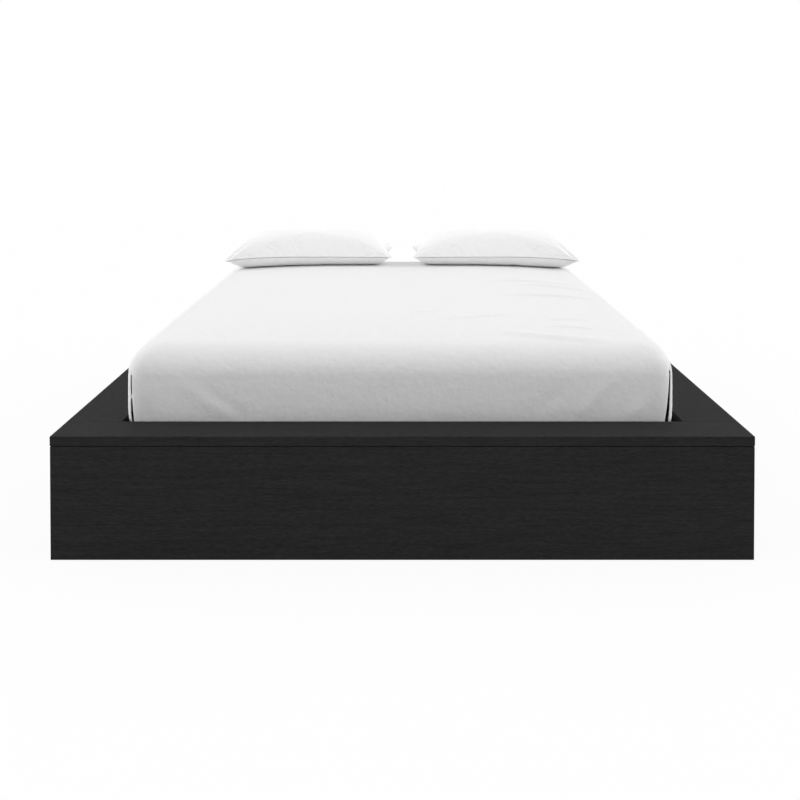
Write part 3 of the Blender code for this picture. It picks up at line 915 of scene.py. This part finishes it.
def pillow_mesh(name, size, middle, outer_side, material):
    """A closed pillow, whose two faces share the points of the seam. Returns it and its points' shares."""
    across, along_side = spread(pillow_columns, column_spread), spread(pillow_rows, row_spread)
    u, v = np.meshgrid(across, along_side, indexing="ij")
    x = u * (size.x / 2 - side_pull * (1 - v * v))
    y = v * (size.y / 2 - end_pull * (1 - u * u))
    seam = seam_height - tip_droop * np.maximum(u * outer_side, 0) ** 3 * (1 - v) / 2
    top = seam + (size.z - seam_height) * fullness(u, v, crown_shares)
    rest = rest_heights(np.stack([x, y], axis=-1), middle)
    bottom = rest + (seam - rest) * (1 - fullness(u, v, belly_shares)) ** belly_power
    points = both_faces(np.stack([x, y, top], axis=-1))
    points[face_points:, 2] = bottom[1:-1, 1:-1].ravel()
    index_top = np.arange(face_points).reshape(u.shape)
    index_bottom = index_top.copy()
    index_bottom[1:-1, 1:-1] = np.arange(face_points, len(points)).reshape(bottom[1:-1, 1:-1].shape)
    faces = np.vstack([grid_faces(index_top), grid_faces(index_bottom)[:, ::-1]])
    return add_mesh(name, points.tolist(), faces.tolist(), material), both_faces(u), both_faces(v)


def rows_from_seam():
    """How many rows of points away from the seam each point is."""
    i, j = np.meshgrid(np.arange(pillow_columns + 1), np.arange(pillow_rows + 1), indexing="ij")
    return both_faces(np.minimum(np.minimum(i, pillow_columns - i), np.minimum(j, pillow_rows - j)))


def weight_group(obj, name, weights):
    """A vertex group from one weight a point."""
    group = obj.vertex_groups.new(name=name)
    for i in np.nonzero(weights > 0)[0]:
        group.add([int(i)], float(weights[i]), "REPLACE")
    return group.name


def add_cloth(pillow, held, spare):
    """Makes a pillow cloth, with the points that stay in place and those where it is cut much larger."""
    cloth = pillow.modifiers.new("cloth", "CLOTH")
    values = cloth.settings
    values.vertex_group_mass = weight_group(pillow, "held", held)
    values.vertex_group_shrink = weight_group(pillow, "spare", spare)
    values.shrink_min = -spare_cloth
    values.shrink_max = -spare_at_seams
    values.quality = cloth_quality
    values.mass = cloth_mass
    values.air_damping = air_damping
    values.tension_stiffness = cloth_stiffness
    values.compression_stiffness = cloth_stiffness
    values.shear_stiffness = cloth_stiffness / 4
    values.bending_stiffness = cloth_bending
    values.tension_damping = cloth_damping
    values.compression_damping = cloth_damping
    values.shear_damping = cloth_damping
    values.use_pressure = True
    values.uniform_pressure_force = fill_pressure
    values.effector_weights.gravity = 0
    cloth.collision_settings.use_collision = False
    cloth.point_cache.frame_start = 1
    cloth.point_cache.frame_end = cloth_frames


def run_cloth(pillow):
    """Runs a pillow's cloth, takes it off again and returns where its points came to rest."""
    scene = bpy.context.scene
    for number in range(1, cloth_frames + 1):
        scene.frame_set(number)
    settled = pillow.evaluated_get(bpy.context.evaluated_depsgraph_get())
    places, _ = points_and_normals(settled)
    pillow.modifiers.clear()
    pillow.vertex_groups.clear()
    scene.frame_set(1)
    return places


def settle(pillow, size, middle, u, v):
    """Lets the cloth, which is larger than the pillow, settle into puckers along the seams."""
    places, _ = points_and_normals(pillow)
    from_seam = np.minimum((1 - np.abs(u)) * size.x / 2, (1 - np.abs(v)) * size.y / 2)
    at_rest = places[:, 2] < rest_heights(places, middle) + rest_gap
    held = np.where((rows_from_seam() == 0) | at_rest, 1.0, 0.0)
    add_cloth(pillow, held, np.clip(1 - from_seam / seam_band, 0, 1))
    moved = run_cloth(pillow)
    kept_share = np.where(np.arange(len(places)) < face_points, 1.0, below_share)
    moved = places + (moved - places) * kept_share[:, None]
    above = np.maximum(moved[:, 2] - seam_height, 0)
    moved[:, 2] -= (above.max() - (size.z - seam_height)) * (above / above.max()) ** 2
    moved[:, 2] = np.maximum(moved[:, 2], rest_heights(moved, middle))
    move_points(pillow, moved)


def subdivide(piece):
    """Applies one subdivision to a piece's mesh."""
    smooth = piece.modifiers.new("smooth", "SUBSURF")
    smooth.levels = 1
    finer = bpy.data.meshes.new_from_object(piece.evaluated_get(bpy.context.evaluated_depsgraph_get()))
    piece.modifiers.clear()
    piece.data = finer


def seam_opening(places, normals, size):
    """How far the groove is open at each point of the seam, from 0 to 1."""
    from_tip = np.hypot(size.x / 2 - np.abs(places[:, 0]), size.y / 2 - np.abs(places[:, 1]))
    at_end = np.abs(normals[:, 0]) > np.abs(normals[:, 1])
    opened = smooth_step(from_tip, 0, tip_reach) * np.where(at_end, end_seam_share, 1)
    return np.maximum(opened, closed_share)[:, None]


def groove_faces(above, on_seam, behind, lower):
    """The groove's faces, two at each edge of the seam: in from the upper face and out to the lower one."""
    strips = []
    for start, end in zip(above.T, np.roll(above, -1, axis=1).T):
        along_seam = on_seam[start] & on_seam[end]
        a, b = start[along_seam], end[along_seam]
        strips.append(np.stack([b, a, behind[a], behind[b]], axis=1))
        strips.append(np.stack([behind[b], behind[a], lower[a], lower[b]], axis=1))
    return np.vstack(strips)


def open_seam(pillow, size, material):
    """Parts the two faces at the seam, and joins them again behind it by a narrow groove."""
    places, normals = points_and_normals(pillow)
    count = len(places)
    side = np.zeros(count)
    pillow.data.attributes["side"].data.foreach_get("value", side)
    faces = np.zeros(len(pillow.data.loops), int)
    pillow.data.loops.foreach_get("vertex_index", faces)
    faces = faces.reshape(-1, 4)
    on_seam = np.abs(side) < side_margin
    seam = np.nonzero(on_seam)[0]
    behind = np.zeros(count, int)
    behind[seam] = count + np.arange(len(seam))
    lower = np.zeros(count, int)
    lower[seam] = behind[seam] + len(seam)
    opened = seam_opening(places[seam], normals[seam], size)
    half_gap = opened * (0, 0, groove_width / 2)
    in_groove = places[seam] - normals[seam] * opened * groove_depth
    points = np.vstack([places, in_groove, places[seam] - half_gap])
    points[seam] += half_gap
    below = side[faces].sum(axis=1) < 0
    groove = groove_faces(faces[~below], on_seam, behind, lower)
    faces[below] = np.where(on_seam[faces[below]], lower[faces[below]], faces[below])
    mesh = bpy.data.meshes.new(pillow.name)
    mesh.from_pydata(points.tolist(), [], np.vstack([faces, groove]).tolist())
    mesh.materials.append(material)
    mesh.shade_smooth()
    mesh.set_sharp_from_angle(angle=math.radians(sharp_angle))
    pillow.data = mesh


def make_pillow(side, outer_side, material):
    """One pillow in its place. Its points are marked 1 on top, 0 on the seam and -1 below."""
    low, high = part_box(f"pillow_{side}")
    size = high - low
    middle = (low + high) / 2
    pillow, u, v = pillow_mesh(f"{side}_pillow", size, middle, outer_side, material)
    settle(pillow, size, middle, u, v)
    on_top = np.arange(len(u)) < face_points
    marks = pillow.data.attributes.new("side", "FLOAT", "POINT")
    marks.data.foreach_set("value", np.where(rows_from_seam() == 0, 0.0, np.where(on_top, 1.0, -1.0)))
    subdivide(pillow)
    open_seam(pillow, size, material)
    pillow.location = (middle.x, middle.y, low.z)
    return pillow


# The stage


def seen_share(tree):
    """1 for the rays that show a thing to the camera, in a mirror or through glass, and 0 for its light."""
    path = add_node(tree, "ShaderNodeLightPath")
    shown = maths(tree, "MAXIMUM", path.outputs["Is Camera Ray"], path.outputs["Is Glossy Ray"])
    return maths(tree, "MAXIMUM", shown, path.outputs["Is Transmission Ray"])


def make_floor():
    """A pale floor that looks white to the camera, but for the object's shadow."""
    material, tree, shader = new_material("floor", Roughness=0.9, Specular_IOR_Level=0.0)
    speckle = stretched_noise(tree, (3.0, 3.0, 3.0), 2.0)
    paint(tree, shader, speckle, tuple(part * 0.98 for part in floor_colour), floor_colour)
    glow = add_node(tree, "ShaderNodeEmission", {"Color": (1.0, 1.0, 1.0, 1.0), "Strength": floor_glow})
    share = maths(tree, "MULTIPLY", seen_share(tree), floor_white_share)
    inputs = {0: share, 1: shader.outputs["BSDF"], 2: glow.outputs["Emission"]}
    both = add_node(tree, "ShaderNodeMixShader", inputs)
    tree.links.new(both.outputs["Shader"], tree.nodes["Material Output"].inputs["Surface"])
    half = floor_size / 2
    corners = [(-half, -half, 0), (half, -half, 0), (half, half, 0), (-half, half, 0)]
    floor = add_mesh("floor", corners, [(0, 1, 2, 3)], material)


def make_world():
    """A white surround. Its light is soft, strongest from both sides and weakest from the front."""
    world = bpy.data.worlds.new("studio")
    world.use_nodes = True
    bpy.context.scene.world = world
    tree = world.node_tree
    place = add_node(tree, "ShaderNodeTexCoord")
    parts = add_node(tree, "ShaderNodeSeparateXYZ", {"Vector": place.outputs["Generated"]})
    from_back = ramp(tree, parts.outputs["Y"], -1.0, 0.0, front_level, sky_level)
    sideways = maths(tree, "POWER", maths(tree, "ABSOLUTE", parts.outputs["X"]), 4.0)
    lit = maths(tree, "ADD", from_back, maths(tree, "MULTIPLY", sideways, side_level))
    seen = seen_share(tree)
    unseen = maths(tree, "MULTIPLY", lit, maths(tree, "SUBTRACT", 1.0, seen))
    strength = maths(tree, "ADD", unseen, seen)
    tree.links.new(strength, tree.nodes["Background"].inputs["Strength"])
    tree.nodes["Background"].inputs["Color"].default_value = (1.0, 1.0, 1.0, 1.0)


def make_camera():
    """The camera in front of the foot end, above the ledge and tilted down a little."""
    data = bpy.data.cameras.new("camera")
    data.lens = lens
    data.sensor_width = sensor_width
    data.shift_x, data.shift_y = shift
    camera = bpy.data.objects.new("camera", data)
    camera.location = (0, ledge_low.y - camera_back, ledge_high.z + camera_up)
    camera.rotation_euler = (math.radians(90 - camera_pitch), 0, 0)
    bpy.context.scene.collection.objects.link(camera)
    bpy.context.scene.camera = camera


def main():
    """Builds the scene, hangs each new piece from its body's empty and hides the part that it replaces."""
    make_camera()
    finish_frame()
    sheet = make_sheet(cotton("sheet_cotton", (0.865, 0.865, 0.865), 0.0018))
    # The mattress's near-black side cloth is painted shade for the corner pleats' slits
    mattress = make_mattress(ticking(), border_cloth())
    pillow_cotton = cotton("pillow_cotton", (0.96, 0.96, 0.96), 0.0010)
    left = make_pillow("left", -1, pillow_cotton)
    right = make_pillow("right", 1, pillow_cotton)
    pieces = (
        (sheet, "mattress", "bed_sheet", "white_cotton"),
        (mattress, "mattress", "mattress", "ticking"),
        (left, "pillow_left", "pillow_left", "white_cotton"),
        (right, "pillow_right", "pillow_right", "white_cotton"),
    )
    for piece, body, node, slot in pieces:
        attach(piece, body)
        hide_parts(node)
    make_floor()
    make_world()
    bpy.context.scene.view_settings.view_transform = "Standard"


main()
